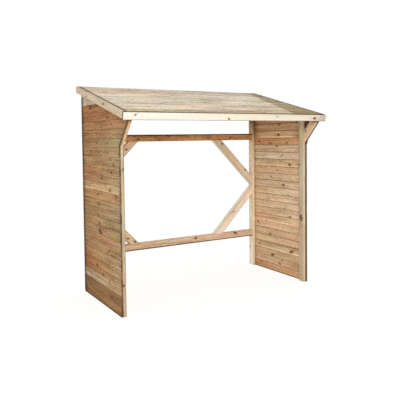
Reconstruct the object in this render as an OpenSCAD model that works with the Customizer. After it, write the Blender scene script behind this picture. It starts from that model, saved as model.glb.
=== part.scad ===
// Firewood shelter: an open log store of sawn softwood, with two boarded side walls,
// a braced open back and a single-pitch boarded roof that falls to the front.
// Millimetres. X runs along the width, Y from the front to the back, Z up.
// The origin lies on the ground, under the middle of the roof.

/* [Walls] */
// Width over the outer faces of the two boarded walls
wall_w = 1992; // [1400:1:2600]
// Depth of a wall, from the front of its front post to its back edge
wall_d = 874; // [600:1:1200]
// Thickness of the wall boards
clad_t = 16; // [12:1:28]

/* [Frame timbers] */
// Wide side of a post, rail or brace
frame_w = 68; // [50:1:90]
// Narrow side of a post, knee brace or rafter
frame_t = 27; // [25:1:50]

/* [Back frame] */
// Thickness of a back rail or back brace, from front to back
back_frame_t = 58; // [34:1:68]
// Height of the lower rail's underside above the ground
lower_rail_z = 333; // [200:1:500]
// Height of the upper rail's underside above the ground
upper_rail_z = 1406; // [1200:1:1500]
// Length of rail from a post to the inner edge of a back brace
brace_run = 504; // [300:1:650]

/* [Roof] */
// Pitch of the roof in degrees
roof_pitch = 15; // [8:0.5:22]
// Height of the roof's top edge at the front
roof_front_z = 1638; // [1580:1:1900]
// Reach of the roof in front of the posts
front_overhang = 213; // [120:1:300]
// Reach of the roof past the back edge of the walls
back_overhang = 4; // [0:1:120]
// Reach of the roof past the outer face of each wall
side_overhang = 46; // [25:1:150]
// Thickness of the roof boards
roof_board_t = 18; // [12:1:28]
// Number of roof boards between the fascia and the back edge
roof_board_count = 10; // [6:1:14]
// Depth of a rafter, square to the roof
rafter_h = 40; // [30:1:80]

/* [Trim] */
// Depth of the fascia, square to the roof
fascia_w = 64; // [45:1:120]
// Depth of the bargeboards, square to the roof
barge_w = 58; // [45:1:120]
// Thickness of the fascia and the bargeboards
trim_t = 20; // [12:1:25]

/* [Knee braces] */
// Drop from the roof's front top edge to the lowest point of a knee brace, on its front post
knee_drop = 258; // [180:1:440]

/* [Hidden] */
LEFT = -1;
RIGHT = 1;

// Places across the width, measured from the middle
clad_in_x = wall_w / 2 - clad_t;
post_in_x = clad_in_x - frame_t;
roof_half_w = wall_w / 2 + side_overhang;
deck_half_w = roof_half_w - trim_t;

// Places from front to back
roof_depth = front_overhang + wall_d + back_overhang;
roof_front_y = -roof_depth / 2;
roof_back_y = roof_depth / 2;
wall_front_y = roof_front_y + front_overhang;
wall_back_y = wall_front_y + wall_d;

// A point of the roof section: s runs up the slope from the front edge, sunk is the depth under the top
function on_roof(s, sunk) = [
    roof_front_y + s * cos(roof_pitch) + sunk * sin(roof_pitch),
    roof_front_z + s * sin(roof_pitch) - sunk * cos(roof_pitch)
];

// The same, at a given place from front to back
function under_roof(y, sunk) = [
    y,
    roof_front_z + (y - roof_front_y) * tan(roof_pitch) - sunk / cos(roof_pitch)
];

// Where two lines of a section cross, each given by a point and a direction
function crossing(p, u, q, v) = p + u * cross(q - p, v) / cross(u, v);

// Roof section: the deck ends with its lower edge under the plumb back ends of the bargeboards
deck_end_s = (roof_depth - roof_board_t * sin(roof_pitch)) / cos(roof_pitch);
roof_board_cover = (deck_end_s - trim_t) / roof_board_count;
rafter_sunk = roof_board_t + rafter_h;

// Knee brace section: its lower edge rises from the front post to the front end of the rafter's underside
knee_foot_z = roof_front_z - knee_drop;
knee_foot = [wall_front_y, knee_foot_z];
knee_tip = on_roof(trim_t, rafter_sunk);
knee_rise = atan2(knee_tip[1] - knee_foot[1], knee_foot[0] - knee_tip[0]);
knee_way = [-cos(knee_rise), sin(knee_rise)];
knee_heel = knee_foot + [0, frame_w / cos(knee_rise)];
roof_way = [cos(roof_pitch), sin(roof_pitch)];

// Back frame: the braces of one side meet on the post, halfway between the rails
brace_top_z = upper_rail_z;
brace_bottom_z = lower_rail_z + frame_w;
brace_meet_z = (brace_top_z + brace_bottom_z) / 2;

// An outline in Y and Z, drawn out along X from x over a length of w
module along_x(x, w) {
    translate([x, 0, 0]) rotate([90, 0, 90]) linear_extrude(w) children();
}

// A slab on one side of the shelter, from x_in outwards
module side_slab(side, x_in, thick) {
    along_x(side == RIGHT ? x_in : -x_in - thick, thick) children();
}

// An upright post, its top cut to the rafter that it carries
module post(side, y) {
    side_slab(side, post_in_x, frame_t) polygon([
        [y, 0],
        [y + frame_w, 0],
        under_roof(y + frame_w, rafter_sunk),
        under_roof(y, rafter_sunk)
    ]);
}

// The level boards of one wall up to the foot of its knee brace
module lower_cladding(side) {
    side_slab(side, clad_in_x, clad_t) polygon([
        [wall_front_y, 0],
        [wall_back_y, 0],
        [wall_back_y, knee_foot_z],
        knee_foot
    ]);
}

// The level boards above, flared forward along the knee brace and cut to the roof
module upper_cladding(side) {
    side_slab(side, clad_in_x, clad_t) polygon([
        knee_foot,
        [wall_back_y, knee_foot_z],
        under_roof(wall_back_y, roof_board_t),
        on_roof(trim_t, roof_board_t),
        knee_tip
    ]);
}

// The slanting brace from a front post to the front end of the rafter over it
module knee_brace(side) {
    side_slab(side, post_in_x, frame_t) polygon([
        knee_foot,
        knee_tip,
        crossing(knee_heel, knee_way, knee_tip, roof_way),
        knee_heel
    ]);
}

// A level rail between the back posts
module back_rail(z) {
    translate([-post_in_x, wall_back_y - back_frame_t, z]) cube([2 * post_in_x, back_frame_t, frame_w]);
}

// A back brace from a rail's edge at rail_z to its post, halfway between the rails
module back_brace(side, rail_z) {
    rise = rail_z - brace_meet_z;
    slant = sqrt(brace_run * brace_run + rise * rise);
    along_rail = frame_w * slant / abs(rise);
    along_post = frame_w * slant / brace_run * sign(rise);
    translate([0, wall_back_y, 0]) rotate([90, 0, 0]) linear_extrude(back_frame_t) polygon([
        [side * (post_in_x - brace_run), rail_z],
        [side * post_in_x, brace_meet_z],
        [side * post_in_x, brace_meet_z + along_post],
        [side * (post_in_x - brace_run + along_rail), rail_z]
    ]);
}

// A rafter under the deck, from the fascia to the back edge of the walls
module rafter(x) {
    along_x(x, frame_t) polygon([
        on_roof(trim_t, rafter_sunk),
        under_roof(wall_back_y, rafter_sunk),
        under_roof(wall_back_y, roof_board_t),
        on_roof(trim_t, roof_board_t)
    ]);
}

// The board that closes the ends of the roof boards on one side
module bargeboard(side) {
    side_slab(side, deck_half_w, trim_t) polygon([
        on_roof(trim_t, barge_w),
        under_roof(roof_back_y, barge_w),
        under_roof(roof_back_y, 0),
        on_roof(trim_t, 0)
    ]);
}

module left_front_post() { color("wheat") post(LEFT, wall_front_y); }
module left_back_post() { color("wheat") post(LEFT, wall_back_y - frame_w); }
module right_front_post() { color("wheat") post(RIGHT, wall_front_y); }
module right_back_post() { color("wheat") post(RIGHT, wall_back_y - frame_w); }

module left_lower_cladding() { color("peru") lower_cladding(LEFT); }
module left_upper_cladding() { color("peru") upper_cladding(LEFT); }
module right_lower_cladding() { color("peru") lower_cladding(RIGHT); }
module right_upper_cladding() { color("peru") upper_cladding(RIGHT); }

module left_knee_brace() { color("burlywood") knee_brace(LEFT); }
module right_knee_brace() { color("burlywood") knee_brace(RIGHT); }

module lower_back_rail() { color("burlywood") back_rail(lower_rail_z); }
module upper_back_rail() { color("peru") back_rail(upper_rail_z); }

module left_upper_brace() { color("burlywood") back_brace(LEFT, brace_top_z); }
module left_lower_brace() { color("burlywood") back_brace(LEFT, brace_bottom_z); }
module right_upper_brace() { color("burlywood") back_brace(RIGHT, brace_top_z); }
module right_lower_brace() { color("burlywood") back_brace(RIGHT, brace_bottom_z); }

module left_rafter() { color("burlywood") rafter(-clad_in_x); }
module middle_rafter() { color("burlywood") rafter(-frame_t / 2); }
module right_rafter() { color("burlywood") rafter(post_in_x); }

// The pale board across the front ends of the rafters and bargeboards
module front_fascia() {
    color("cornsilk") along_x(-roof_half_w, 2 * roof_half_w) polygon([
        on_roof(0, 0),
        on_roof(0, fascia_w),
        on_roof(trim_t, fascia_w),
        on_roof(trim_t, 0)
    ]);
}

module left_bargeboard() { color("antiquewhite") bargeboard(LEFT); }
module right_bargeboard() { color("antiquewhite") bargeboard(RIGHT); }

// Roof board i of the deck, counted from the front
module roof_board(i) {
    low = trim_t + (i - 1) * roof_board_cover;
    high = low + roof_board_cover;
    color("tan") along_x(-deck_half_w, 2 * deck_half_w) polygon([
        on_roof(low, 0),
        on_roof(low, roof_board_t),
        on_roof(high, roof_board_t),
        on_roof(high, 0)
    ]);
}

left_front_post();
left_back_post();
right_front_post();
right_back_post();
left_lower_cladding();
left_upper_cladding();
right_lower_cladding();
right_upper_cladding();
left_knee_brace();
right_knee_brace();
lower_back_rail();
upper_back_rail();
left_upper_brace();
left_lower_brace();
right_upper_brace();
right_lower_brace();
left_rafter();
middle_rafter();
right_rafter();
front_fascia();
left_bargeboard();
right_bargeboard();
for (i = [1 : roof_board_count])
    roof_board(i);
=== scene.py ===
"""Firewood shelter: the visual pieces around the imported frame, in metres."""

import math
import random

import bmesh
import bpy
from mathutils import Matrix, Vector


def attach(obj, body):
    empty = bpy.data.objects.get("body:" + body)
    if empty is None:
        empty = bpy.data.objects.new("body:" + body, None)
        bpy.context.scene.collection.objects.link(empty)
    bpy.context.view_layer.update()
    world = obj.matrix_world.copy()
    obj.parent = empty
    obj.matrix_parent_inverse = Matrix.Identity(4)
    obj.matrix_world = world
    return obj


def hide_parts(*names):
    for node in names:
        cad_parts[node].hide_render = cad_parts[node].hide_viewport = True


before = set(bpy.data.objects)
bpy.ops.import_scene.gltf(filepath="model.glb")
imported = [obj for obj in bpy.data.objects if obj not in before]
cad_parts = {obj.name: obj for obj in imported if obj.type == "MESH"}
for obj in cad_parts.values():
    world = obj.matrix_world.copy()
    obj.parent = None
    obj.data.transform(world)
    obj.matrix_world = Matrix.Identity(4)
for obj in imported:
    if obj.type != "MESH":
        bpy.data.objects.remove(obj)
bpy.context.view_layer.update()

# Sizes of the frame, as in the part's source.
WALL_W, WALL_D, CLAD_T = 1.992, 0.874, 0.016
FRAME_W, FRAME_T, BACK_FRAME_T = 0.068, 0.027, 0.058
LOWER_RAIL_Z, UPPER_RAIL_Z, BRACE_RUN = 0.333, 1.406, 0.504
PITCH = math.radians(15)
ROOF_FRONT_Z, FRONT_OVERHANG, BACK_OVERHANG, SIDE_OVERHANG = 1.638, 0.213, 0.004, 0.046
ROOF_BOARD_T, ROOF_BOARD_COUNT, RAFTER_H = 0.018, 10, 0.040
FASCIA_W, BARGE_W, TRIM_T = 0.064, 0.058, 0.020
KNEE_DROP = 0.258

CLAD_IN_X = WALL_W / 2 - CLAD_T
POST_IN_X = CLAD_IN_X - FRAME_T
ROOF_HALF_W = WALL_W / 2 + SIDE_OVERHANG
DECK_HALF_W = ROOF_HALF_W - TRIM_T
ROOF_DEPTH = FRONT_OVERHANG + WALL_D + BACK_OVERHANG
ROOF_FRONT_Y = -ROOF_DEPTH / 2
ROOF_BACK_Y = ROOF_DEPTH / 2
WALL_FRONT_Y = ROOF_FRONT_Y + FRONT_OVERHANG
WALL_BACK_Y = WALL_FRONT_Y + WALL_D
SIN, COS, TAN = math.sin(PITCH), math.cos(PITCH), math.tan(PITCH)
DECK_END_S = (ROOF_DEPTH - ROOF_BOARD_T * SIN) / COS
ROOF_COVER = (DECK_END_S - TRIM_T) / ROOF_BOARD_COUNT
RAFTER_SUNK = ROOF_BOARD_T + RAFTER_H
RAFTER_PLACES = (("left", -CLAD_IN_X + FRAME_T / 2), ("middle", 0.0), ("right", CLAD_IN_X - FRAME_T / 2))

# Sizes of what only shows close up.
BOARD_COVER = 0.075
ROUND = 0.0022
JOINT = 0.0004
TONGUE, TONGUE_FROM, TONGUE_TO = 0.005, 0.34, 0.62
TONGUE_SLACK, GROOVE_SLACK = 0.0003, 0.001
DECK_END_GAP = 0.004
FASCIA_GAP = 0.003
FASCIA_DROP = 0.006
RAFTER_GAP = 0.0005
BARGE_GAP = 0.0008
TRIM_ROUND = 0.0025
WALL_OUTER_BEVEL, WALL_INNER_BEVEL, LIP_BEVEL = 0.0013, 0.0028, 0.003
ROOF_TOP_BEVEL, ROOF_UNDER_BEVEL = 0.0022, 0.0012
NAIL_R, NAIL_PROUD, NAIL_SUNK, NAIL_SIDES = 0.0021, 0.0004, 0.002, 12
WALL_NAIL_SHARES, ROOF_NAIL_SHARES = (0.28, 0.72), (0.25, 0.75)
FASCIA_NAIL_ROWS, BARGE_NAIL_PLACES = (-0.016, 0.012), (0.10, 0.38, 0.66, 0.94)
# Lengths of painted shade at timber ends.
SHADED_END_LENGTH, WALL_SHADED_LENGTH, POST_SHADED_LENGTH = 0.034, 0.10, 0.46
# Bands of painted shade along edges.
EDGE_SHADE_BAND, RAIL_SHADE_BAND, FASCIA_SHADE_BAND = 0.007, 0.014, 0.004
LIP_BAND = 0.013
RING = 0.0034
POST_PITH = (0.01, -0.05)

# What a wall's top board keeps of its length along its upper edge, and how near a joint a bend is left out.
TOP_BOARD_LEAST, KINK_MARGIN = 0.02, 0.008
# Edges sharper than the angle stay sharp. Points nearer than the weld are joined, and slivers go.
SHARP_ANGLE = math.radians(40)
WELD, SLIVER = 2e-6, 1e-6
# A distance in metres that is beyond everything: for no knot and no painted shadow.
FAR = 9.0
# How painted shade fades at a timber's end: shares of the shaded length, and of the shade.
SHADE_FADE = ((0.0, 1.0), (0.28, 0.8), (0.5, 0.25), (1.0, 0.0))
# The most of a timber's length that one shaded end takes, and the least between it and a change of knot.
SHADED_END_LIMIT, STRETCH_MARGIN = 0.3, 0.005
# Metres of grain that the timbers are cut from.
LOG_LENGTH = 40

rng = random.Random(41)


def on_roof(s, sunk):
    """A point of the roof's section (y, z): s up the slope from the front edge, sunk under the top."""
    return (ROOF_FRONT_Y + s * COS + sunk * SIN, ROOF_FRONT_Z + s * SIN - sunk * COS)


def under_roof(y, sunk):
    """The height at a place from front to back, sunk under the roof's top."""
    return ROOF_FRONT_Z + (y - ROOF_FRONT_Y) * TAN - sunk / COS


KNEE_FOOT = (WALL_FRONT_Y, ROOF_FRONT_Z - KNEE_DROP)
KNEE_TIP = on_roof(TRIM_T, RAFTER_SUNK)
WALL_TIP = on_roof(TRIM_T, ROOF_BOARD_T)


class Shader:
    """Short calls for the nodes of one material, or of the surround."""

    def __init__(self, owner):
        owner.use_nodes = True
        self.owner = owner
        self.tree = owner.node_tree
        self.tree.nodes.clear()

    def node(self, kind, **settings):
        made = self.tree.nodes.new(kind)
        for key, value in settings.items():
            setattr(made, key, value)
        return made

    def feed(self, socket, value):
        if isinstance(value, bpy.types.NodeSocket):
            self.tree.links.new(value, socket)
        else:
            socket.default_value = value

    def math(self, operation, a, b=0.0, c=0.0, clamp=False):
        made = self.node("ShaderNodeMath", operation=operation, use_clamp=clamp)
        for socket, value in zip(made.inputs, (a, b, c)):
            self.feed(socket, value)
        return made.outputs[0]

    def vector(self, x, y, z):
        made = self.node("ShaderNodeCombineXYZ")
        for socket, value in zip(made.inputs, (x, y, z)):
            self.feed(socket, value)
        return made.outputs[0]

    def split(self, attribute):
        source = self.node("ShaderNodeAttribute", attribute_name=attribute)
        made = self.node("ShaderNodeSeparateXYZ")
        self.feed(made.inputs[0], source.outputs["Vector"])
        return made.outputs[0], made.outputs[1], made.outputs[2]

    def noise(self, vector, detail=2.0, roughness=0.5):
        made = self.node("ShaderNodeTexNoise")
        self.feed(made.inputs["Vector"], vector)
        self.feed(made.inputs["Scale"], 1.0)
        self.feed(made.inputs["Detail"], detail)
        self.feed(made.inputs["Roughness"], roughness)
        return made.outputs["Fac"]

    def spread(self, value, low, high, to_low=0.0, to_high=1.0):
        made = self.node("ShaderNodeMapRange", interpolation_type="SMOOTHSTEP")
        for socket, given in zip(made.inputs, (value, low, high, to_low, to_high)):
            self.feed(socket, given)
        return made.outputs[0]

    def blend(self, share, a, b):
        made = self.node("ShaderNodeMix", data_type="RGBA", blend_type="MIX")
        self.feed(made.inputs["Factor"], share)
        self.feed(made.inputs["A"], a if isinstance(a, bpy.types.NodeSocket) else (*a, 1.0))
        self.feed(made.inputs["B"], b if isinstance(b, bpy.types.NodeSocket) else (*b, 1.0))
        return made.outputs["Result"]

    def mix(self, share, a, b):
        made = self.node("ShaderNodeMixShader")
        for socket, value in zip(made.inputs, (share, a.outputs[0], b.outputs[0])):
            self.feed(socket, value)
        return made.outputs[0]

    def scaled(self, colour, by):
        made = self.node("ShaderNodeVectorMath", operation="MULTIPLY")
        self.feed(made.inputs[0], colour)
        self.feed(made.inputs[1], by)
        return made.outputs[0]


# What the wood's colour is multiplied by: round a knot, where green, in painted shade, at ends, in joints, on
# lips.
KNOT_HALO, DAMP_GREEN, SHADE_TINT = (0.76, 0.60, 0.46), (0.80, 0.90, 0.66), (0.22, 0.175, 0.125)
# End grain is darker, with painted shade of the gaps at the ends; joints get painted shade, lips a painted
# highlight.
END_GRAIN_AND_SHADE, JOINT_SHADE, LIP_HIGHLIGHT = (0.17, 0.125, 0.085), (0.30, 0.24, 0.18), (1.36, 1.43, 1.52)
# Colours that the painted shadow on the roof's right end gives the wood.
SHADOW_GREEN, SHADOW_BROWN = (0.47, 0.43, 0.26), (0.55, 0.43, 0.28)
UNCHANGED = (1.0, 1.0, 1.0)
# Colours of a knot's own parts.
HEART_PALE, HEART_DARK, BARK = (0.27, 0.115, 0.040), (0.12, 0.045, 0.015), (0.045, 0.022, 0.012)


def wood(name, pale, dark, figure=0.42, streaks=1.8, mottle=1.8, outside=UNCHANGED):
    """Sawn softwood. The growth rings run round a pith beside the board, and bend round the knots."""
    s = Shader(bpy.data.materials.new(name))
    u, v, w = s.split("grain")
    ku, kv, kr = s.split("knot")
    light, warm, green = s.split("tone")
    end, groove, outer = s.split("face")
    shadow_depth, painted_shade, _ = s.split("painted_shading")

    def coordinates(along, across):
        rates = ((u, along), (v, across), (w, across))
        return s.vector(*(s.math("MULTIPLY", value, rate) for value, rate in rates))

    wander = s.noise(coordinates(1.1, 5.0), 2.0)
    blotch = s.noise(coordinates(3.1, 17.0), 3.0)
    fibre = s.noise(coordinates(11.0, 640.0), 2.0)

    # The grain parts round a knot as a stream parts round a pillar.
    kr2 = s.math("MULTIPLY", kr, kr)
    kv2 = s.math("MULTIPLY", kv, kv)
    ku_short = s.math("MULTIPLY", ku, 0.5)
    reach = s.math("ADD", s.math("ADD", s.math("MULTIPLY", ku_short, ku_short), kv2), 1e-6)
    around = s.math("ADD", reach, s.math("MULTIPLY", kr2, 0.3))
    bend = s.math("DIVIDE", s.math("MULTIPLY", s.math("MULTIPLY", kr2, 1.7), kv), around)
    v_bent = s.math("MULTIPLY_ADD", wander, 0.05, s.math("SUBTRACT", v, bend))
    radius = s.math("SQRT", s.math("ADD", s.math("MULTIPLY", v_bent, v_bent), s.math("MULTIPLY", w, w)))
    uneven = s.noise(s.vector(s.math("MULTIPLY", radius, 90.0), s.math("MULTIPLY", u, 1.5), 0.0), 1.0)
    cone = s.math("ADD", radius, s.math("MULTIPLY", u, 0.007))
    phase = s.math("ADD", s.math("DIVIDE", cone, RING), s.math("MULTIPLY", uneven, 2.4))
    late = s.math("POWER", s.math("FRACT", phase), 2.6)
    streak_v = s.math("MULTIPLY", v_bent, 75.0)
    streak = s.noise(s.vector(s.math("MULTIPLY", u, 1.3), streak_v, s.math("MULTIPLY", w, 75.0)), 3.0, 0.6)
    band_v = s.math("MULTIPLY", v_bent, 28.0)
    band = s.noise(s.vector(s.math("MULTIPLY", u, 0.8), band_v, s.math("MULTIPLY", w, 28.0)), 2.0)
    fleck = s.noise(coordinates(26.0, 120.0), 2.0)

    sway = s.math("MULTIPLY", s.math("SUBTRACT", streak, 0.5), 0.9 * streaks)
    for part, share in ((band, 0.7), (blotch, 0.8), (fleck, 1.1), (fibre, 0.2)):
        sway = s.math("ADD", sway, s.math("MULTIPLY", s.math("SUBTRACT", part, 0.5), share * streaks))
    sway = s.math("MULTIPLY", sway, s.math("MULTIPLY_ADD", outer, 0.6, 1.0))
    depth = s.math("ADD", s.math("MULTIPLY_ADD", late, figure, sway), 0.22, clamp=True)
    colour = s.blend(depth, pale, dark)

    # Knots: a warm halo along the grain, a brown heart with its own rings and a black bark line.
    ragged = s.math("MULTIPLY", s.math("SUBTRACT", s.noise(coordinates(75.0, 75.0), 2.0), 0.5), 1.7)
    span = s.math("SQRT", s.math("ADD", s.math("MULTIPLY", s.math("MULTIPLY", ku, ku), 0.72), kv2))
    apart = s.math("ADD", s.math("DIVIDE", span, s.math("ADD", kr, 1e-5)), ragged)
    halo_u = s.math("MULTIPLY", ku, 0.24)
    halo_span = s.math("SQRT", s.math("ADD", s.math("MULTIPLY", halo_u, halo_u), kv2))
    halo = s.spread(s.math("DIVIDE", halo_span, s.math("ADD", kr, 1e-5)), 2.2, 0.6)
    heart = s.spread(apart, 1.12, 0.82)
    bark = s.math("MULTIPLY", s.spread(apart, 1.32, 1.06), s.spread(apart, 0.72, 0.98))
    knot_rings = s.math("FRACT", s.math("MULTIPLY", apart, 4.0))
    colour = s.blend(s.math("MULTIPLY", halo, 0.4), colour, s.scaled(colour, KNOT_HALO))
    heart_colour = s.blend(s.math("MULTIPLY", knot_rings, 0.7), HEART_PALE, HEART_DARK)
    colour = s.blend(s.math("MULTIPLY", heart, 0.88), colour, heart_colour)
    colour = s.blend(s.math("MULTIPLY", bark, 0.85), colour, BARK)

    # Tone of each board: lighter or darker, warmer or greyer, and the green of damp treated wood.
    patch = s.math("SUBTRACT", s.noise(coordinates(1.7, 7.0), 2.0), 0.5)
    tint = s.math("SUBTRACT", s.noise(coordinates(2.3, 13.0), 2.0), 0.5)
    warmer = s.math("MULTIPLY_ADD", patch, mottle, warm)
    green_gain = s.math("MULTIPLY_ADD", warmer, -0.035, -0.10)
    shares = []
    for warm_gain, tint_gain in ((0.12, 0.12), (green_gain, -0.16), (-0.36, 0.10)):
        shares.append(s.math("MULTIPLY_ADD", warmer, warm_gain, s.math("MULTIPLY_ADD", tint, tint_gain, 1.0)))
    colour = s.scaled(colour, s.vector(*shares))
    brightness = s.math("ADD", light, 1.0)
    colour = s.scaled(colour, s.vector(brightness, brightness, brightness))
    cloud = s.spread(s.noise(coordinates(4.0, 9.0), 2.0), 0.3, 0.65)
    damp = s.math("MULTIPLY", green, cloud, clamp=True)
    colour = s.blend(damp, colour, s.scaled(colour, DAMP_GREEN))
    if outside != UNCHANGED:
        colour = s.blend(outer, colour, s.scaled(colour, outside))

    # Painted light: the painted shadow on the roof's right end, painted shade at ends and along edges, end
    # grain and joints darkened with painted shade, and painted highlights on lips.
    in_shadow = s.spread(s.math("MULTIPLY_ADD", blotch, 0.10, shadow_depth), 0.02, 0.07, 0.0, 0.9)
    shadow_colour = s.blend(s.spread(tint, -0.1, 0.1), SHADOW_GREEN, SHADOW_BROWN)
    colour = s.blend(in_shadow, colour, s.scaled(colour, shadow_colour))
    # Painted shade at timber ends and along edges, broken up a little by the streaks.
    shade_amount = s.math("MULTIPLY", painted_shade, s.spread(streak, 0.2, 0.7, 0.5, 1.0))
    colour = s.blend(shade_amount, colour, s.scaled(colour, SHADE_TINT))
    colour = s.blend(end, colour, s.scaled(colour, END_GRAIN_AND_SHADE))
    colour = s.blend(groove, colour, s.scaled(colour, JOINT_SHADE))
    # A lip under 0 is a painted highlight, where a bevel catches the light.
    lip = s.math("MULTIPLY", groove, -1.0, clamp=True)
    colour = s.blend(lip, colour, s.scaled(colour, LIP_HIGHLIGHT))

    # Late wood and fibres stand a little proud.
    height = s.math("ADD", s.math("MULTIPLY", late, 0.4), s.math("MULTIPLY", fibre, 0.8))
    bump = s.node("ShaderNodeBump")
    s.feed(bump.inputs["Strength"], 0.35)
    s.feed(bump.inputs["Distance"], 0.0009)
    s.feed(bump.inputs["Height"], height)
    surface = s.node("ShaderNodeBsdfPrincipled")
    s.feed(surface.inputs["Base Color"], colour)
    s.feed(surface.inputs["Roughness"], s.spread(streak, 0.2, 0.8, 0.62, 0.82))
    s.feed(surface.inputs["Specular IOR Level"], 0.28)
    s.feed(surface.inputs["Normal"], bump.outputs["Normal"])
    out = s.node("ShaderNodeOutputMaterial")
    s.feed(out.inputs["Surface"], surface.outputs[0])
    return s.owner


def steel(name):
    """Zinc-plated nail and screw heads, dulled in patches."""
    s = Shader(bpy.data.materials.new(name))
    place = s.node("ShaderNodeTexCoord")
    patch = s.node("ShaderNodeTexNoise")
    s.feed(patch.inputs["Vector"], place.outputs["Object"])
    s.feed(patch.inputs["Scale"], 900.0)
    surface = s.node("ShaderNodeBsdfPrincipled")
    colour = s.blend(patch.outputs["Fac"], (0.30, 0.28, 0.25), (0.50, 0.47, 0.42))
    s.feed(surface.inputs["Base Color"], colour)
    s.feed(surface.inputs["Metallic"], 0.85)
    s.feed(surface.inputs["Roughness"], s.spread(patch.outputs["Fac"], 0.3, 0.7, 0.35, 0.6))
    out = s.node("ShaderNodeOutputMaterial")
    s.feed(out.inputs["Surface"], surface.outputs[0])
    return s.owner


# How the colour of the walls' outer faces is changed: darker and browner than the inner faces.
WALL_OUTSIDE = (0.60, 0.495, 0.355)
WALL = wood("wall_boards", (0.88, 0.66, 0.445), (0.39, 0.24, 0.13), 0.36, 1.4, 1.1, WALL_OUTSIDE)
POST = wood("post_timber", (0.78, 0.63, 0.44), (0.48, 0.35, 0.21), 0.35, 1.4)
BRACE = wood("brace_timber", (0.88, 0.70, 0.50), (0.60, 0.43, 0.27), 0.35, 1.4)
LOWER_RAIL = wood("lower_rail_timber", (0.87, 0.65, 0.45), (0.52, 0.33, 0.19), 0.4)
# Darker wood, and partly painted shade of the roof over the rail.
UPPER_RAIL = wood("upper_rail_timber", (0.78, 0.41, 0.18), (0.34, 0.145, 0.052), 0.45, 2.4)
RAFTER = wood("rafter_timber", (0.64, 0.47, 0.29), (0.42, 0.26, 0.13), 0.4)
# Pale wood, and partly painted light: the brightness of the lamp-lit front board.
FASCIA = wood("fascia_board", (0.94, 0.885, 0.78), (0.82, 0.73, 0.58), 0.3, 0.9, 0.7)
BARGE = wood("bargeboard_timber", (0.78, 0.65, 0.50), (0.46, 0.36, 0.25), 0.35, 1.5)
ROOF = wood("roof_boards", (0.87, 0.74, 0.59), (0.38, 0.295, 0.21), 0.38, 1.9)
STEEL = steel("fastener_steel")


class Bag:
    """Vertices, faces and face-corner values of one piece."""

    LAYERS = ("grain", "knot", "tone", "face", "painted_shading")

    def __init__(self):
        self.points = []
        self.faces = []
        self.steel = []
        self.layers = {name: [] for name in self.LAYERS}

    def add_face(self, corners, steel=False):
        first = len(self.points)
        self.points.extend(point for point, _ in corners)
        self.faces.append(list(range(first, first + len(corners))))
        self.steel.append(1 if steel else 0)
        for _, values in corners:
            for name, value in zip(self.LAYERS, values):
                self.layers[name].append(value)

    def make(self, name, slot, material, *nodes):
        """Makes the mesh and the piece, which rides the root body and stands for the nodes."""
        mesh = bpy.data.meshes.new(name)
        mesh.from_pydata(self.points, [], self.faces)
        for layer, values in self.layers.items():
            made = mesh.attributes.new(layer, "FLOAT_VECTOR", "CORNER")
            made.data.foreach_set("vector", [number for value in values for number in value])
        mesh.materials.append(material)
        if any(self.steel):
            mesh.materials.append(STEEL)
            mesh.polygons.foreach_set("material_index", self.steel)
        piece = bpy.data.objects.new(name, mesh)
        bpy.context.scene.collection.objects.link(piece)
        weld(mesh)
        mesh.polygons.foreach_set("use_smooth", [True] * len(mesh.polygons))
        mesh.set_sharp_from_angle(angle=SHARP_ANGLE)
        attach(piece, "root")
        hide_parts(*nodes)


def weld(mesh):
    """Joins the faces of one timber along their shared edges."""
    work = bmesh.new()
    work.from_mesh(mesh)
    bmesh.ops.remove_doubles(work, verts=work.verts, dist=WELD)
    bmesh.ops.dissolve_degenerate(work, edges=work.edges, dist=SLIVER)
    work.to_mesh(mesh)
    work.free()


def rounded(v_half, w_half, radius=ROUND, edge_shade=(0.0, 0.0, 0.0, 0.0), band=EDGE_SHADE_BAND):
    """The outline of a sawn timber with eased edges: anticlockwise (v, w, groove, outer, grime) points.

    Groove and outer are for the side that starts at the point: how far it is in a joint, and out of doors.
    The painted shade along the edges is given for the edges at +v +w, -v +w, -v -w and +v -w, and fades
    within a band along them.
    """
    points = []
    steps = 3
    corners = ((1, 1, 0), (-1, 1, 90), (-1, -1, 180), (1, -1, 270))
    for (v_side, w_side, first), shade_amount in zip(corners, edge_shade):
        arc = []
        for step in range(steps + 1):
            angle = math.radians(first + 90 * step / steps)
            v = v_side * (v_half - radius) + radius * math.cos(angle)
            w = w_side * (w_half - radius) + radius * math.sin(angle)
            arc.append((v, w, 0.0, 0.0, shade_amount))
        turn = math.radians(first)
        before = (arc[0][0] + band * math.sin(turn), arc[0][1] - band * math.cos(turn))
        after = (arc[-1][0] - band * math.cos(turn), arc[-1][1] - band * math.sin(turn))
        points += [(*before, 0.0, 0.0, 0.0), *arc, (*after, 0.0, 0.0, 0.0)]
    return points


class Knot:
    """A knot: its place along the timber, its place across it, its radius, and the axis it runs along."""

    def __init__(self, along, across, radius, axis="w"):
        self.along, self.across, self.radius, self.axis = along, across, radius, axis
        self.turn = rng.uniform(-0.6, 0.6)
        self.length = rng.uniform(0.8, 1.6)

    def beside(self, u, v, w):
        """How far a point lies from the knot's heart, along the knot's own length and across it."""
        du = u - self.along
        dv = (v if self.axis == "w" else w) - self.across
        cos, sin = math.cos(self.turn), math.sin(self.turn)
        return ((du * cos + dv * sin) / self.length, dv * cos - du * sin)


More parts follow.
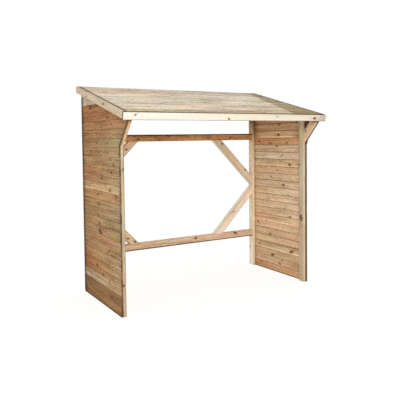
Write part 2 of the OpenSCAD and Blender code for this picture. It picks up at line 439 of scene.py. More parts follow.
def add_timber(bag, place, outline, start, end, knots=(), tone=(0, 0, 0), pith=None, shaded_ends=(0.0, 0.0),
               shadow_depth=None, shaded_length=SHADED_END_LENGTH, shade_outside=1.0, tone_inside=1.0, end_shade=1.0):
    """Sweeps an outline along u from start(v, w) to end(v, w), and gives each face its grain and its knot.

    The tone is one triple, or a pair of them for the two ends. Painted shade darkens the ends over their last
    shaded_length, as much as shaded_ends gives, and shade_outside is how much of that an outer face has.
    tone_inside is how much of the tone an inner face has, and end_shade how dark the end grain and the
    painted shade of the gap at an end are. shadow_depth gives, by place, how deep a point lies in a painted
    shadow.
    """
    knots = sorted(knots, key=lambda knot: knot.along) or [Knot(FAR, FAR, 0.0)]
    tones = tone if isinstance(tone[0], tuple) else (tone, tone)
    low = min(start(v, w) for v, w, *_ in outline)
    high = max(end(v, w) for v, w, *_ in outline)
    shortest = min(end(v, w) - start(v, w) for v, w, *_ in outline)
    shaded_length = min(shaded_length, SHADED_END_LIMIT * shortest)
    edge = shaded_length / shortest + STRETCH_MARGIN
    stops = [(0.0, shaded_length * reach, shaded_ends[0] * share, 0) for reach, share in SHADE_FADE]
    for segment, (a, b) in enumerate(zip(knots, knots[1:])):
        share = ((a.along + b.along) / 2 - low) / (high - low)
        stops.append((min(max(share, edge), 1 - edge), 0.0, 0.0, segment + 1))
    last = len(knots) - 1
    stops += [(1.0, -shaded_length * reach, shaded_ends[1] * share, last) for reach, share in reversed(SHADE_FADE)]
    shift = rng.uniform(0, LOG_LENGTH)
    if pith is None:
        pith = (rng.uniform(-0.02, 0.02), -rng.uniform(0.03, 0.075))

    def corner(u, v, w, segment, grade, painted_shade):
        knot = knots[segment]
        point = place(u, v, w)
        share = min(max((u - low) / (high - low), 0.0), 1.0)
        hold = 1.0 if grade[0] or grade[2] else tone_inside
        here = tuple((a + (b - a) * share) * hold for a, b in zip(*tones))
        in_shadow = shadow_depth(point) if shadow_depth else -FAR
        near_knot = (*knot.beside(u, v, w), knot.radius)
        return point, ((u + shift, v - pith[0], w - pith[1]), near_knot, here, grade, (in_shadow, painted_shade, 0.0))

    def along(v, w, stop):
        first = start(v, w)
        return first + (end(v, w) - first) * stop[0] + stop[1]

    x, y, z = (place(*axis) - place(0, 0, 0) for axis in ((1, 0, 0), (0, 1, 0), (0, 0, 1)))
    flipped = y.cross(z).dot(x) < 0
    count = len(outline)
    for near, far in zip(stops, stops[1:]):
        for i in range(count):
            a, b = outline[i], outline[(i + 1) % count]
            grade = (0.0, a[2], a[3])
            share = 1.0 + (shade_outside - 1.0) * a[3]
            spots = [(a, near), (b, near), (b, far), (a, far)]
            if flipped:
                spots.reverse()
            bag.add_face([
                corner(along(p[0], p[1], stop), p[0], p[1], near[3], grade, max(p[4], stop[2] * share))
                for p, stop in spots
            ])
    for stop, backwards in ((stops[0], True), (stops[-1], False)):
        spots = [(along(v, w, stop), v, w) for v, w, *_ in outline]
        if backwards != flipped:
            spots.reverse()
        bag.add_face([corner(*spot, stop[3], (end_shade, 0.0, 0.0), 0.0) for spot in spots])


def add_nail(bag, centre, normal):
    """A round nail head with a bevelled rim, let into the wood."""
    normal = Vector(normal).normalized()
    side = normal.orthogonal().normalized()
    other = normal.cross(side)
    blank = ((0.0, 0.0, 0.0),) * len(Bag.LAYERS)

    def ring(size, height):
        angles = [2 * math.pi * k / NAIL_SIDES for k in range(NAIL_SIDES)]
        return [
            Vector(centre) + normal * height + (side * math.cos(angle) + other * math.sin(angle)) * size
            for angle in angles
        ]

    rings = [ring(NAIL_R, -NAIL_SUNK), ring(NAIL_R, NAIL_PROUD * 0.3), ring(NAIL_R * 0.72, NAIL_PROUD)]
    for lower, upper in zip(rings, rings[1:]):
        for k in range(NAIL_SIDES):
            n = (k + 1) % NAIL_SIDES
            bag.add_face([(point, blank) for point in (lower[k], lower[n], upper[n], upper[k])], steel=True)
    bag.add_face([(point, blank) for point in rings[-1]], steel=True)
    bag.add_face([(point, blank) for point in reversed(rings[0])], steel=True)


def frame_of(origin, u_axis, v_axis, w_axis):
    """Places a timber's (u, v, w) in the shelter's own frame."""
    origin, u_axis, v_axis, w_axis = Vector(origin), Vector(u_axis), Vector(v_axis), Vector(w_axis)
    return lambda u, v, w: origin + u_axis * u + v_axis * v + w_axis * w


def scattered(low, high, half, spacing, size=(0.004, 0.0085)):
    """Knots along a timber where the photograph shows none in particular."""
    knots = []
    along = low + rng.uniform(0.2, 0.9) * spacing
    while along < high - 0.03:
        knots.append(Knot(along, rng.uniform(-0.8, 0.8) * half, rng.uniform(*size)))
        along += spacing * rng.uniform(0.6, 1.5)
    return knots


def loose_tone(light=0.10, warm=0.18, green=0.35):
    """A tone by chance, for a timber that the photograph doesn't show."""
    return (rng.uniform(-light, light), rng.uniform(-warm, warm), rng.uniform(0, green))


def build_posts():
    """The four posts: u up, v front to back, w outwards."""
    # Of each post: its knots, its tones, its painted shade at the foot and the top, its edges' painted shade
    # and their band.
    special = {
        "left_front_post": (
            [Knot(0.257, 0.008, 0.008, "v"), Knot(1.19, -0.004, 0.005, "v")],
            ((-0.22, 0.40, 0.3), (-0.10, 0.25, 0.1)), (0.0, 0.0), (0.0, 0.0, 1.0, 0.5), 0.005,
        ),
        "right_front_post": (
            [Knot(0.635, 0.004, 0.018), Knot(1.16, 0.02, 0.006)],
            ((-0.09, -0.05, 0.3), (-0.04, -0.10, 0.4)), (0.0, 0.0), (0.0, 1.8, 0.0, 0.4), 0.011,
        ),
        "left_back_post": (
            [Knot(0.5, 0.0, 0.007), Knot(1.2, 0.01, 0.006)],
            (0.0, 0.0, 0.3), (0.0, 0.0), (0.0, 0.0, 0.3, 0.5), 0.005,
        ),
        # The top of this post, in the shade of the upper rail and the roof, is darkened with painted shade.
        "right_back_post": (
            [Knot(0.2, 0.018, 0.006), Knot(0.93, -0.015, 0.006)],
            ((0.50, -0.40, 0.0), (0.32, 0.25, 0.0)), (0.0, 5.0), (0.0, 0.4, 0.0, 2.4), 0.008,
        ),
    }
    for side, side_name in ((-1, "left"), (1, "right")):
        for y, place_name in ((WALL_FRONT_Y, "front"), (WALL_BACK_Y - FRAME_W, "back")):
            name = f"{side_name}_{place_name}_post"
            knots, tone, shaded_ends, edge_shade, band = special[name]
            middle = y + FRAME_W / 2
            origin = (side * (POST_IN_X + FRAME_T / 2), middle, 0)
            place = frame_of(origin, (0, 0, 1), (0, 1, 0), (side, 0, 0))
            bag = Bag()
            ends = (lambda v, w: 0.0, lambda v, w, middle=middle: under_roof(middle + v, RAFTER_SUNK))
            outline = rounded(FRAME_W / 2, FRAME_T / 2, edge_shade=edge_shade, band=band)
            painted_shade = {"shaded_ends": shaded_ends, "shaded_length": POST_SHADED_LENGTH}
            add_timber(bag, place, outline, *ends, knots, tone, POST_PITH, **painted_shade)
            bag.make(name + "_timber", "post_timber", POST, name)


def wall_start(z):
    """Where a wall begins, from the front, at a height: the post, the flare, the fascia, then the roof."""
    corners = ((KNEE_FOOT, KNEE_TIP), (KNEE_TIP, WALL_TIP))
    if z <= KNEE_FOOT[1]:
        return WALL_FRONT_Y
    for (y_low, z_low), (y_high, z_high) in corners:
        if z <= z_high:
            return y_low + (y_high - y_low) * (z - z_low) / (z_high - z_low)
    return WALL_TIP[0] + (z - WALL_TIP[1]) / TAN


def board_outline(cover, thick, outer_bevel, inner_bevel, kinks=(), first=False, last=False,
                  outer=0.45, inner=0.8, lip=0.8, foot=0.0, sill=0.0):
    """A tongued and grooved board: v up from its lower joint, w from the inner face to the outer one.

    Outer is how dark the outer bevels are, inner the upper inner bevel and lip the lower inner one: painted
    shade in the joints. A lip under 0 makes that bevel and a strip above it paler than the board, as a
    painted highlight.
    The foot is painted shade along the two lower edges, and the sill how much darker, or paler under 0, a
    strip
    along the outer one is: under 0, a painted highlight.
    """
    low = 0.0 if first else JOINT
    high = cover if last else cover - JOINT
    tongue = (thick * TONGUE_FROM, thick * TONGUE_TO)
    points = [(low + inner_bevel, 0.0, min(lip, 0.0), 0.0)]
    if lip < 0 or foot:
        points.append((low + inner_bevel + LIP_BAND, 0.0, 0.0, 0.0))
    points += [(v, 0.0, 0.0, 0.0) for v in kinks]
    points += [(high - inner_bevel, 0.0, inner, 0.0), (high, inner_bevel, 1.0, 0.0)]
    if not last:
        points += [(high, tongue[0], 1.0, 0.0), (cover + TONGUE, tongue[0], 1.0, 0.0)]
        points += [(cover + TONGUE, tongue[1], 1.0, 0.0), (high, tongue[1], 1.0, 0.0)]
    points += [(high, thick - outer_bevel, outer, 1.0), (high - outer_bevel, thick, 0.0, 1.0)]
    points += [(v, thick, 0.0, 1.0) for v in reversed(kinks)]
    if foot or sill:
        points.append((low + outer_bevel + 3 * EDGE_SHADE_BAND, thick, sill, 1.0))
    points = [(*point, 0.0 if number else foot) for number, point in enumerate(points)]
    points += [(low + outer_bevel, thick, outer, 1.0, foot), (low, thick - outer_bevel, 1.0, 0.0, foot)]
    if not first:
        deep = low + TONGUE + GROOVE_SLACK
        groove = (tongue[0] - TONGUE_SLACK, tongue[1] + TONGUE_SLACK)
        inside = ((low, groove[1]), (deep, groove[1]), (deep, groove[0]), (low, groove[0]))
        points += [(v, w, 1.0, 0.0, 0.0) for v, w in inside]
    points.append((low, inner_bevel, lip, 0.0, 0.0))
    return points


# Knots that the photograph shows: metres forward from the back edge, height, radius.
LEFT_KNOTS = (
    (0.35, 0.217, 0.008), (0.667, 0.114, 0.009), (0.344, 0.317, 0.012), (0.49, 0.262, 0.008),
    (0.63, 0.234, 0.007), (0.64, 0.50, 0.008), (0.433, 0.632, 0.017), (0.41, 0.70, 0.012),
    (0.405, 0.762, 0.010), (0.41, 0.876, 0.011), (0.383, 0.954, 0.010), (0.80, 0.964, 0.012),
    (0.667, 1.007, 0.008), (0.483, 1.10, 0.010), (0.711, 1.157, 0.011), (0.756, 1.219, 0.009),
    (0.694, 1.274, 0.008), (0.383, 1.403, 0.009), (0.628, 1.403, 0.007), (0.389, 1.481, 0.006),
    (0.50, 1.539, 0.007), (0.73, 1.557, 0.006), (0.64, 1.614, 0.010), (0.239, 1.72, 0.016),
)
RIGHT_KNOTS = (
    (0.189, 0.064, 0.008), (0.483, 0.10, 0.009), (0.517, 0.14, 0.006), (0.367, 0.172, 0.012),
    (0.15, 0.264, 0.009), (0.667, 0.258, 0.014), (0.333, 0.393, 0.009), (0.122, 0.50, 0.009),
    (0.644, 0.612, 0.009), (0.617, 0.836, 0.006), (0.544, 0.936, 0.011), (0.347, 1.011, 0.010),
    (0.456, 1.085, 0.006), (0.636, 1.15, 0.012), (0.52, 1.24, 0.006), (0.444, 1.335, 0.008),
    (0.156, 1.39, 0.010), (0.344, 1.367, 0.008), (0.606, 1.376, 0.007), (0.472, 1.457, 0.013),
    (0.478, 1.56, 0.009), (0.745, 1.585, 0.008),
)
# Tones of the wall boards by course, at the front end and at the back end: lighter, warmer, greener.
LEFT_TONES = (
    ((-0.25, 0.65, 0.0), (-0.35, 1.00, 0.8)), ((-0.26, 0.35, 0.1), (-0.33, 0.95, 0.8)),
    ((0.28, -0.55, 0.0), (0.46, -0.90, 0.0)), ((0.32, -0.75, 0.0), (-0.50, 1.60, 0.0)),
    ((0.26, -0.50, 0.2), (-0.26, 1.50, 0.0)), ((0.28, -0.65, 0.5), (-0.12, 0.90, 0.0)),
    ((0.12, -0.15, 0.3), (-0.17, 0.75, 0.4)), ((0.15, -0.15, 0.1), (-0.08, 0.75, 0.2)),
    ((0.13, -0.65, 0.6), (-0.13, 0.80, 0.1)), ((0.11, -0.75, 0.7), (-0.18, 0.75, 0.3)),
    ((0.06, -0.65, 0.5), (-0.13, 0.80, 0.2)), ((0.06, -0.65, 0.5), (-0.15, 1.15, 0.0)),
    ((0.14, -0.10, 0.0), (-0.11, 0.85, 0.0)), ((0.42, -0.80, 0.0), (0.30, -0.05, 0.0)),
    ((0.20, -0.50, 0.0), (-0.08, 0.85, 0.0)), ((0.17, -0.55, 0.1), (-0.08, 0.95, 0.0)),
    ((0.15, -0.55, 0.3), (-0.09, 0.90, 0.3)), ((0.12, -0.75, 0.5), (-0.15, 0.80, 0.4)),
    ((0.07, -0.80, 0.5), (-0.18, 0.80, 0.5)), ((0.05, -0.15, 0.2), (-0.16, 1.05, 0.2)),
    ((0.01, 0.30, 0.0), (-0.20, 1.35, 0.0)), ((-0.01, 0.40, 0.0), (-0.22, 1.45, 0.0)),
    ((-0.04, 0.45, 0.0), (-0.25, 1.50, 0.0)), ((0.85, -1.75, 0.0), (0.85, -1.75, 0.1)),
    ((0.85, -1.75, 0.0), (0.85, -1.75, 0.1)), ((0.85, -1.75, 0.0), (0.85, -1.75, 0.1)),
)
RIGHT_TONES = (
    ((-0.12, 0.80, 0.0), (-0.16, 0.90, 0.0)), ((-0.14, 0.60, 0.1), (-0.04, 0.15, 0.0)),
    ((-0.08, 0.25, 0.2), (-0.14, 0.25, 0.3)), ((-0.08, 0.30, 0.1), (-0.09, 0.20, 0.2)),
    ((0.00, 0.20, 0.0), (-0.03, 0.30, 0.0)), ((0.02, 0.15, 0.0), (-0.01, 0.30, 0.0)),
    ((0.04, 0.00, 0.0), (0.02, 0.20, 0.0)), ((0.00, 0.25, 0.0), (-0.02, 0.30, 0.0)),
    ((0.08, -0.15, 0.0), (0.01, 0.25, 0.0)), ((0.08, -0.20, 0.0), (0.03, 0.20, 0.0)),
    ((0.08, -0.15, 0.0), (0.03, 0.20, 0.0)), ((0.06, -0.10, 0.0), (0.01, 0.20, 0.0)),
    ((0.02, 0.00, 0.0), (-0.04, 0.10, 0.2)), ((0.02, 0.10, 0.0), (0.02, 0.10, 0.0)),
    ((-0.10, 0.15, 0.0), (-0.12, 0.40, 0.0)), ((0.00, 0.00, 0.1), (-0.02, 0.05, 0.2)),
    ((0.16, -0.40, 0.0), (0.18, -0.40, 0.0)), ((0.00, 0.00, 0.1), (0.02, -0.10, 0.2)),
    ((-0.16, 1.00, 0.0), (-0.14, 1.00, 0.0)), ((-0.10, 0.45, 0.0), (-0.12, 0.50, 0.0)),
    # Courses 20 and 21, just under the roof, are darker and warmer: painted shade of the roof.
    ((-0.24, 0.70, 0.1), (-0.24, 0.70, 0.1)), ((-0.36, 1.00, 0.1), (-0.36, 1.00, 0.1)),
    ((0.00, 0.10, 0.1), (0.00, 0.10, 0.1)), ((0.00, 0.00, 0.1), (0.00, 0.10, 0.1)),
    ((0.00, 0.10, 0.1), (0.00, 0.10, 0.1)), ((0.00, 0.00, 0.1), (0.00, 0.10, 0.1)),
)
# Courses of the walls whose lower edge catches the light, given as a painted highlight, and how much.
LEFT_LIPS = {5: 0.4, 13: 0.4}
RIGHT_LIPS = {3: 0.9, 7: 0.9, 14: 0.1, 15: 0.9, 19: 0.9}
# Joints of the left wall's lowest boards, which are uneven, and the cover of the boards above them.
LEFT_JOINTS = (0.0, 0.086, 0.173, 0.246, 0.303)
LEFT_COVER = 0.0757
# How dark the left wall's board ends are, by turns: end grain, with painted shade of the gap at the post.
LEFT_END_SHADES = (1.0, 0.86, 0.95, 1.0, 0.9)


def build_wall(side, side_name, shown_knots, tones, lips, joints, board_cover):
    """One boarded wall: u front to back, v up, w outwards, with the boards nailed to the posts.

    The joints are the heights of the lowest ones, and board_cover the height of each course above them.
    """
    bag = Bag()
    back_top = under_roof(WALL_BACK_Y - TOP_BOARD_LEAST, ROOF_BOARD_T)
    bends = (KNEE_FOOT[1], KNEE_TIP[1], WALL_TIP[1])
    joints = list(joints)
    while joints[-1] + board_cover < back_top:
        joints.append(joints[-1] + board_cover)
    joints.append(back_top)
    for course, (base, upper) in enumerate(zip(joints, joints[1:])):
        last = upper == back_top
        cover = upper - base
        kinks = [z - base for z in bends if KINK_MARGIN < z - base < cover - KINK_MARGIN]
        if side == 1 and course in lips:
            lip, inner_bevel = -lips[course], LIP_BEVEL
        else:
            lip, inner_bevel = rng.uniform(0.5, 1.0), WALL_INNER_BEVEL
        # The lowest course has painted shade along its lower edges, and the left wall's lip courses a painted
        # highlight along the outer one.
        foot = 1.5 if course == 0 else 0.0
        sill = -lips[course] if side == -1 and course in lips else 0.0
        outer, inner = rng.uniform(0.2, 0.9), rng.uniform(0.5, 1.0)
        shades = (outer, inner, lip, foot, sill)
        bevels = (WALL_OUTER_BEVEL, inner_bevel)
        outline = board_outline(cover, CLAD_T, *bevels, kinks, course == 0, last, *shades)
        place = frame_of((side * CLAD_IN_X, 0, base), (0, 1, 0), (0, 0, 1), (side, 0, 0))
        knots = [
            Knot(WALL_BACK_Y - forward, height - base, radius)
            for forward, height, radius in shown_knots if base <= height < upper
        ]
        if not knots:
            knots = [
                Knot(k.along, k.across + BOARD_COVER / 2, k.radius)
                for k in scattered(WALL_FRONT_Y, WALL_BACK_Y, BOARD_COVER / 2, 0.5, (0.003, 0.006))
            ]
        inset = rng.uniform(0.0, 0.0012)
        start = lambda v, w, base=base, inset=inset: wall_start(base + v) + inset
        end = lambda v, w, inset=inset: WALL_BACK_Y - inset
        pith = (rng.uniform(0.0, BOARD_COVER), -rng.uniform(0.02, 0.06))
        # Painted shade at the board ends: the left wall's along its back edge, deepest at the foot; the right
        # wall's on its inner face, under the roof at the front of the top courses and beside the back post
        # lower down.
        if side == -1:
            painted_shade = {"shaded_ends": (0.2, 1.7 if course else 3.5), "shaded_length": WALL_SHADED_LENGTH}
            painted_shade["tone_inside"] = 0.35
            painted_shade["end_shade"] = LEFT_END_SHADES[course % len(LEFT_END_SHADES)]
        elif base > KNEE_FOOT[1]:
            painted_shade = {"shaded_ends": (3.5, 1.0), "shaded_length": 0.32, "shade_outside": 0.15}
        else:
            painted_shade = {"shaded_ends": (0.6, 3.0), "shaded_length": WALL_SHADED_LENGTH, "shade_outside": 0.3}
        add_timber(bag, place, outline, start, end, knots, tones[course], pith, **painted_shade)
        for y in (WALL_FRONT_Y + FRAME_W / 2, WALL_BACK_Y - FRAME_W / 2):
            for share in WALL_NAIL_SHARES:
                z = base + BOARD_COVER * share + rng.uniform(-0.003, 0.003)
                spot = (side * WALL_W / 2, y + rng.uniform(-0.006, 0.006), z)
                if z < base + cover - 0.006 and spot[1] > wall_start(z) + 0.01:
                    add_nail(bag, spot, (side, 0, 0))
    nodes = (f"{side_name}_lower_cladding", f"{side_name}_upper_cladding")
    bag.make(f"{side_name}_wall_boards", "wall_boards", WALL, *nodes)


def build_knee_braces():
    """The slanting braces under the front overhang, with both ends cut to what they meet."""
    half = FRAME_W / 2
    rise = math.atan2(KNEE_TIP[1] - KNEE_FOOT[1], KNEE_FOOT[0] - KNEE_TIP[0])
    way = Vector((0, -math.cos(rise), math.sin(rise)))
    across = Vector((0, math.sin(rise), math.cos(rise)))
    length = math.hypot(KNEE_TIP[0] - KNEE_FOOT[0], KNEE_TIP[1] - KNEE_FOOT[1])
    roof_way = Vector((0, COS, SIN))
    tip_u, tip_v = roof_way.dot(way), roof_way.dot(across)
    for side, side_name in ((-1, "left"), (1, "right")):
        origin = Vector((side * (POST_IN_X + FRAME_T / 2), *KNEE_FOOT)) + across * half
        place = frame_of(origin, way, across, (side, 0, 0))
        start = lambda v, w: -(v + half) * across.y / way.y
        end = lambda v, w: length + (v + half) * tip_u / tip_v
        # Painted shade at the top end, under the fascia, and along the edges.
        knots = [Knot(0.10, 0.012, 0.007), Knot(0.24, -0.01, 0.005)]
        tone = (-0.20, 1.10, 0.0) if side == -1 else (0.00, 0.25, 0.0)
        outline = rounded(half, FRAME_T / 2, edge_shade=(0.2, 0.6, 0.2, 0.2))
        bag = Bag()
        add_timber(bag, place, outline, start, end, knots, tone, shaded_ends=(0.0, 3.0), shaded_length=0.04)
        bag.make(f"{side_name}_knee_brace_timber", "brace_timber", BRACE, f"{side_name}_knee_brace")


def build_back_frame():
    """The rails and the braces between the back posts: w runs from front to back."""
    y = WALL_BACK_Y - BACK_FRAME_T / 2
    # Each rail has painted shade along its edges: most along the upper rail's top front edge, under the roof,
    # and the lower rail's bottom front edge.
    rails = (
        ("lower_back_rail", LOWER_RAIL_Z, LOWER_RAIL, "lower_rail_timber",
         [Knot(-0.80, 0.012, 0.006), Knot(0.203, 0.015, 0.013), Knot(0.713, 0.018, 0.012)],
         ((-0.02, 0.10, 0.0), (0.04, -0.10, 0.0)), (0.0, 0.3, 2.2, 0.3)),
        ("upper_back_rail", UPPER_RAIL_Z, UPPER_RAIL, "upper_rail_timber",
         [Knot(-0.438, -0.008, 0.009), Knot(-0.21, -0.022, 0.008), Knot(0.365, -0.005, 0.008),
          Knot(0.649, -0.008, 0.009)],
         ((-0.06, 0.40, 0.0), (0.0, 0.05, 0.0)), (0.6, 0.2, 0.3, 2.4)),
    )
    for name, z, material, slot, knots, tone, edge_shade in rails:
        place = frame_of((0, y, z + FRAME_W / 2), (1, 0, 0), (0, 0, 1), (0, 1, 0))
        outline = rounded(FRAME_W / 2, BACK_FRAME_T / 2, edge_shade=edge_shade, band=RAIL_SHADE_BAND)
        bag = Bag()
        add_timber(bag, place, outline, lambda v, w: -POST_IN_X, lambda v, w: POST_IN_X, knots, tone)
        bag.make(name + "_timber", slot, material, name)

    top, bottom = UPPER_RAIL_Z, LOWER_RAIL_Z + FRAME_W
    meet = (top + bottom) / 2
    half = FRAME_W / 2
    brace_knots = {
        "right_upper": [Knot(0.10, 0.012, 0.008), Knot(0.52, 0.02, 0.007)],
        "right_lower": [Knot(0.33, -0.014, 0.0065), Knot(0.50, 0.010, 0.004)],
        "left_upper": [Knot(0.14, 0.0, 0.009)],
        "left_lower": [Knot(0.12, 0.01, 0.011), Knot(0.05, -0.014, 0.009)],
    }
    brace_tones = {
        "right_upper": (0.10, -0.15, 0.1),
        "right_lower": (0.24, -0.65, 0.0),
        "left_upper": (0.12, 0.15, 0.0),
        "left_lower": (-0.08, 0.35, 0.0),
    }
    for side, side_name in ((-1, "left"), (1, "right")):
        # Painted shade along the braces' edges, most on those facing into the bay.
        edge_shade = (0.2, 0.3, 1.1, 0.35) if side == -1 else (0.2, 0.7, 0.45, 0.35)
        outline = rounded(half, BACK_FRAME_T / 2, edge_shade=edge_shade)
        for rail_z, level in ((top, "upper"), (bottom, "lower")):
            rise = meet - rail_z
            slant = math.hypot(BRACE_RUN, rise)
            way = Vector((side * BRACE_RUN / slant, 0, rise / slant))
            up = 1 if rail_z > meet else -1
            across = Vector((side * abs(rise) / slant, 0, up * BRACE_RUN / slant))
            corner = Vector((side * (POST_IN_X - BRACE_RUN), y, rail_z))
            place = frame_of(corner + across * half, way, across, (0, 1, 0))
            start = lambda v, w, way=way, across=across: -(v + half) * across.z / way.z
            end = lambda v, w, way=way, across=across, slant=slant: slant - (v + half) * across.x / way.x
            bag = Bag()
            name = f"{side_name}_{level}"
            add_timber(bag, place, outline, start, end, brace_knots[name], brace_tones[name])
            bag.make(name + "_brace_timber", "brace_timber", BRACE, name + "_brace")


# Tones of the roof boards from the front, at the left end and at the right end: lighter, warmer, greener.
ROOF_TONES = (
    ((-0.19, 0.25, 0.9), (-0.21, 0.45, 0.3)), ((0.04, 0.15, 0.1), (-0.06, 0.20, 0.3)),
    ((0.00, 0.10, 0.0), (-0.08, 0.10, 0.0)), ((-0.05, 0.00, 0.0), (0.03, 0.00, 0.0)),
    ((0.10, -0.20, 0.4), (0.08, -0.25, 0.6)), ((0.08, -0.15, 0.3), (0.02, -0.15, 0.4)),
    ((0.03, 0.00, 0.0), (0.01, 0.00, 0.0)), ((0.00, 0.15, 0.0), (-0.02, 0.10, 0.0)),
    ((-0.13, 0.10, 0.1), (-0.14, 0.05, 0.0)), ((-0.14, -0.05, 0.3), (-0.14, -0.05, 0.0)),
)
# Where the painted shadow on the roof's right end begins at the front, and how far right that moves a metre
# up the slope.
SHADOW_START_X, SHADOW_SLANT = 0.656, 0.2455
# Roof boards whose joints have deeper painted shade.
DARK_JOINTS = (3, 5, 8)


def shadow_corner(point):
    """How far a point of the roof lies inside the painted shadow on its right end, which widens to the front.
    """
    up_slope = (point.y - ROOF_FRONT_Y) / COS
    return point.x - SHADOW_START_X - SHADOW_SLANT * up_slope


def build_roof():
    """Rafters, deck boards, fascia and bargeboards."""
    slope = (0, COS, SIN)
    inward = (0, SIN, -COS)
    outward = (0, -SIN, COS)
    bevels = (ROOF_TOP_BEVEL, ROOF_UNDER_BEVEL)
    middle_sunk = ROOF_BOARD_T + RAFTER_H / 2

    def roof_frame(x, s, sunk, u_axis, v_axis, w_axis):
        return frame_of((x, *on_roof(s, sunk)), u_axis, v_axis, w_axis)

    outline = rounded(RAFTER_H / 2, FRAME_T / 2)
    for name, x in RAFTER_PLACES:
        place = roof_frame(x, 0, middle_sunk, slope, inward, (1, 0, 0))
        start = lambda v, w: TRIM_T + RAFTER_GAP
        end = lambda v, w: (WALL_BACK_Y - ROOF_FRONT_Y - (middle_sunk + v) * SIN) / COS
        bag = Bag()
        knots = scattered(0.1, 1.0, 0.016, 0.35)
        add_timber(bag, place, outline, start, end, knots, loose_tone())
        bag.make(name + "_rafter_timber", "rafter_timber", RAFTER, name + "_rafter")

    for index in range(ROOF_BOARD_COUNT):
        last = index == ROOF_BOARD_COUNT - 1
        low = TRIM_T + index * ROOF_COVER
        if index == 0:
            # The front board has painted shade along its lower edges, at the fascia.
            board = board_outline(ROOF_COVER - FASCIA_GAP, ROOF_BOARD_T, *bevels, first=True, foot=0.7)
            low += FASCIA_GAP
        else:
            outer = 0.9 if index in DARK_JOINTS else 0.4
            board = board_outline(ROOF_COVER, ROOF_BOARD_T, *bevels, last=last, outer=outer)
        place = roof_frame(0, low, ROOF_BOARD_T, (1, 0, 0), slope, outward)
        knots = [
            Knot(k.along, k.across + ROOF_COVER / 2, k.radius)
            for k in scattered(-DECK_HALF_W, DECK_HALF_W, ROOF_COVER / 2, 0.5, (0.004, 0.011))
        ]
        tone = ROOF_TONES[index]
        reach = DECK_HALF_W - DECK_END_GAP - rng.uniform(0, 0.0015)
        bag = Bag()
        pith = (rng.uniform(0.0, ROOF_COVER), -rng.uniform(0.02, 0.06))
        ends = (lambda v, w: -reach, lambda v, w: reach)
        # Painted shade at both ends, in the gaps beside the bargeboards, and the painted shadow on the right
        # end.
        add_timber(bag, place, board, *ends, knots, tone, pith, (1.5, 0.9), shadow_corner)
        for _, x in RAFTER_PLACES:
            for share in ROOF_NAIL_SHARES:
                spot = place(x + rng.uniform(-0.005, 0.005), ROOF_COVER * share, ROOF_BOARD_T)
                add_nail(bag, spot, outward)
        bag.make(f"roof_board_{index + 1}_timber", "roof_boards", ROOF, f"roof_board_{index + 1}")

    place = roof_frame(0, TRIM_T / 2, (FASCIA_W + FASCIA_DROP) / 2, (1, 0, 0), inward, slope)
    knots = [
        Knot(-0.941, -0.012, 0.006), Knot(-0.071, 0.013, 0.0068),
        Knot(0.45, -0.012, 0.004), Knot(0.90, 0.002, 0.0115),
    ]
    bag = Bag()
    # Painted shade along the lower edges, and at the right end where the roof's painted shadow reaches the
    # fascia.
    edge_shade = (0.8, 0.0, 0.15, 1.1)
    outline = rounded((FASCIA_W - FASCIA_DROP) / 2, TRIM_T / 2, TRIM_ROUND, edge_shade, FASCIA_SHADE_BAND)
    tone = ((-0.02, 0.05, 0.0), (-0.10, 0.15, 0.1))
    ends = (lambda v, w: -ROOF_HALF_W, lambda v, w: ROOF_HALF_W)
    add_timber(bag, place, outline, *ends, knots, tone, shaded_ends=(0.0, 0.6), shaded_length=0.20)
    for _, x in RAFTER_PLACES:
        for v in FASCIA_NAIL_ROWS:
            add_nail(bag, place(x, v, -TRIM_T / 2), (0, -COS, -SIN))
    bag.make("front_fascia_board", "fascia_board", FASCIA, "front_fascia")

    for side, side_name in ((-1, "left"), (1, "right")):
        # Painted shade of the gap along the top edge beside the deck, more on the right.
        upper_edge = 0.35 if side == -1 else 1.6
        outline = rounded(BARGE_W / 2, TRIM_T / 2, TRIM_ROUND, (0.2, upper_edge, 0.9, 0.0))
        place = roof_frame(side * (DECK_HALF_W + TRIM_T / 2), 0, BARGE_W / 2, slope, inward, (side, 0, 0))
        start = lambda v, w: TRIM_T + BARGE_GAP
        end = lambda v, w: (ROOF_BACK_Y - ROOF_FRONT_Y - (BARGE_W / 2 + v) * SIN) / COS
        bag = Bag()
        knots = [Knot(0.42, -0.004, 0.007), Knot(0.83, 0.008, 0.006)]
        tone = (0.03, 0.25, 0.1) if side == -1 else (-0.40, 0.05, 0.80)
        add_timber(bag, place, outline, start, end, knots, tone)
        for s in BARGE_NAIL_PLACES:
            add_nail(bag, place(s, rng.uniform(-0.022, -0.014), TRIM_T / 2), (side, 0, 0))
        bag.make(f"{side_name}_bargeboard_timber", "bargeboard_timber", BARGE, f"{side_name}_bargeboard")


# The floor, the surround and the lamp.
FLOOR_SIZE, FLOOR_COLOUR = 40, (0.92, 0.92, 0.92, 1)
FLOOR_GLOW, FLOOR_GLOW_SHARE = 1.05, 0.85
AMBIENT_COLOUR, AMBIENT_STRENGTH = (1.0, 0.985, 0.96, 1), 0.78
LAMP_SIZE, LAMP_POWER, LAMP_COLOUR = 2.6, 120.0, (1.0, 0.98, 0.94)


def build_floor():
    """A white floor that keeps a faint shadow."""
    bpy.ops.mesh.primitive_plane_add(size=FLOOR_SIZE, location=(0, 0, 0))
    floor = bpy.context.object
    floor.name = "floor"
    s = Shader(bpy.data.materials.new("floor_white"))
    path = s.node("ShaderNodeLightPath")
    matt = s.node("ShaderNodeBsdfDiffuse")
    s.feed(matt.inputs["Color"], FLOOR_COLOUR)
    glow = s.node("ShaderNodeEmission")
    s.feed(glow.inputs["Strength"], FLOOR_GLOW)
    seen = s.math("MULTIPLY", path.outputs["Is Camera Ray"], FLOOR_GLOW_SHARE)
    out = s.node("ShaderNodeOutputMaterial")
    s.feed(out.inputs["Surface"], s.mix(seen, matt, glow))
    floor.data.materials.append(s.owner)


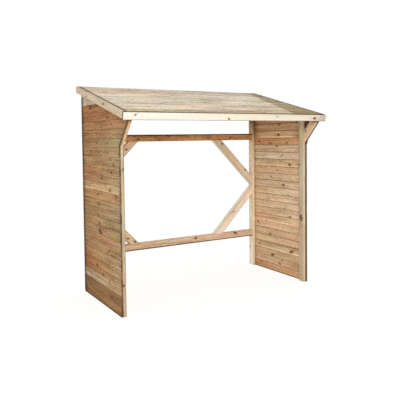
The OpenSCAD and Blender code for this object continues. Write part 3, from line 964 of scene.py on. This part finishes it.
def build_surround():
    """White where it is seen, and a softer, warmer light on the shelter."""
    world = bpy.data.worlds.new("surround")
    bpy.context.scene.world = world
    s = Shader(world)
    path = s.node("ShaderNodeLightPath")
    seen = s.math("MAXIMUM", path.outputs["Is Camera Ray"], path.outputs["Is Glossy Ray"])
    seen = s.math("MAXIMUM", seen, path.outputs["Is Transmission Ray"])
    ambient = s.node("ShaderNodeBackground")
    s.feed(ambient.inputs["Color"], AMBIENT_COLOUR)
    s.feed(ambient.inputs["Strength"], AMBIENT_STRENGTH)
    white = s.node("ShaderNodeBackground")
    s.feed(white.inputs["Color"], (1, 1, 1, 1))
    s.feed(white.inputs["Strength"], 1.0)
    out = s.node("ShaderNodeOutputWorld")
    s.feed(out.inputs["Surface"], s.mix(seen, ambient, white))


def build_lamp():
    """Soft light from the front, high on the left."""
    lamp = bpy.data.lights.new("key", "AREA")
    lamp.shape = "DISK"
    lamp.size = LAMP_SIZE
    lamp.energy = LAMP_POWER
    lamp.color = LAMP_COLOUR
    key = bpy.data.objects.new("key", lamp)
    bpy.context.scene.collection.objects.link(key)
    aim_at(key, Vector((-2.2, -5.0, 3.2)), Vector((0.1, 0.0, 0.9)))


def aim_at(thing, spot, target):
    """Puts a lamp at a spot, with its light towards a target."""
    thing.location = spot
    thing.rotation_euler = (target - spot).to_track_quat("-Z", "Y").to_euler()


def build_camera():
    """The photograph's viewpoint, fitted to the straight edges of the shelter."""
    spot = Vector((-2.603, -4.126, 1.432))
    yaw, tilt, roll = (math.radians(angle) for angle in (29.493, 2.346, 0.759))
    level = Vector((math.cos(yaw), -math.sin(yaw), 0))
    ahead = Vector((math.sin(yaw) * math.cos(tilt), math.cos(yaw) * math.cos(tilt), -math.sin(tilt)))
    down = -level.cross(ahead)
    right = level * math.cos(roll) + down * math.sin(roll)
    below = down * math.cos(roll) - level * math.sin(roll)
    data = bpy.data.cameras.new("camera")
    data.sensor_width = 36.0
    data.lens = 46.519
    data.shift_x = 0.0547
    data.shift_y = -0.1009
    camera = bpy.data.objects.new("camera", data)
    bpy.context.scene.collection.objects.link(camera)
    camera.matrix_world = Matrix((right, -below, -ahead)).transposed().to_4x4()
    camera.location = spot
    bpy.context.scene.camera = camera


build_camera()
build_floor()
build_surround()
build_lamp()
build_posts()
build_wall(-1, "left", LEFT_KNOTS, LEFT_TONES, LEFT_LIPS, LEFT_JOINTS, LEFT_COVER)
build_wall(1, "right", RIGHT_KNOTS, RIGHT_TONES, RIGHT_LIPS, (0.0,), BOARD_COVER)
build_knee_braces()
build_back_frame()
build_roof()

bpy.context.scene.view_settings.view_transform = "Standard"
